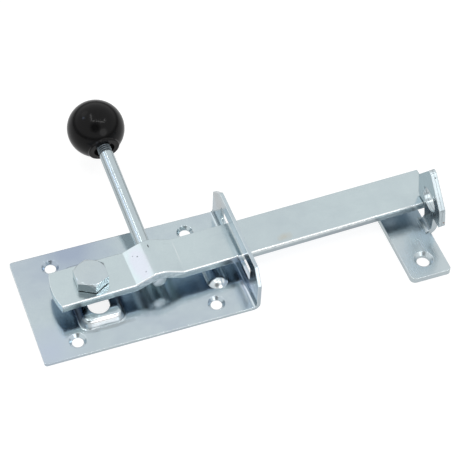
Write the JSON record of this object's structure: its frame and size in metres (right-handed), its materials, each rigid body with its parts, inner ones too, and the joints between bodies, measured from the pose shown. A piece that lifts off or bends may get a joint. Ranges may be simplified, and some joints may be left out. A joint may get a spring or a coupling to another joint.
{
  "type": "garden gate lock",
  "caption": "Swinging latch bar on a pressed back plate, turned by a rod with a ball knob, that drops into a screw-on keeper with a padlock hole.",
  "frame": {"origin": "centre of the back plate's four screw holes, on the mounting face", "axes": "+X along the latch bar to the keeper, +Y to the ball knob, +Z away from the gate"},
  "size_m": [0.2344, 0.1583, 0.0501],
  "materials": {
    "zinc_sheet": "bright zinc plate with a faint blue tint",
    "zinc_bolt": "bright zinc plate",
    "zinc_bar": "bright zinc plate with a faint blue tint",
    "zinc_rod": "bright drawn bar, zinc plated",
    "zinc_weld": "zinc plated weld bead",
    "black_knob": "polished black moulding",
    "zinc_keeper": "bright zinc plate with a faint blue tint"
  },
  "bodies": {
    "mounting": {"back_plate": "zinc_sheet", "pivot_bolt": "zinc_bolt", "lock_nut": "zinc_bolt", "clamp_plate": "zinc_bolt", "keeper": "zinc_keeper"},
    "lever": {"latch_bar": "zinc_bar", "lever_rod": "zinc_rod", "rod_welds": "zinc_weld", "ball_knob": "black_knob"}
  },
  "joints": [
    {"name": "bar_swing", "type": "hinge", "parent": "mounting", "child": "lever", "pos_m": [-0.02315, 0, 0.01325], "axis": [0, 0, 1], "range_deg": [0, 4.9]}
  ]
}
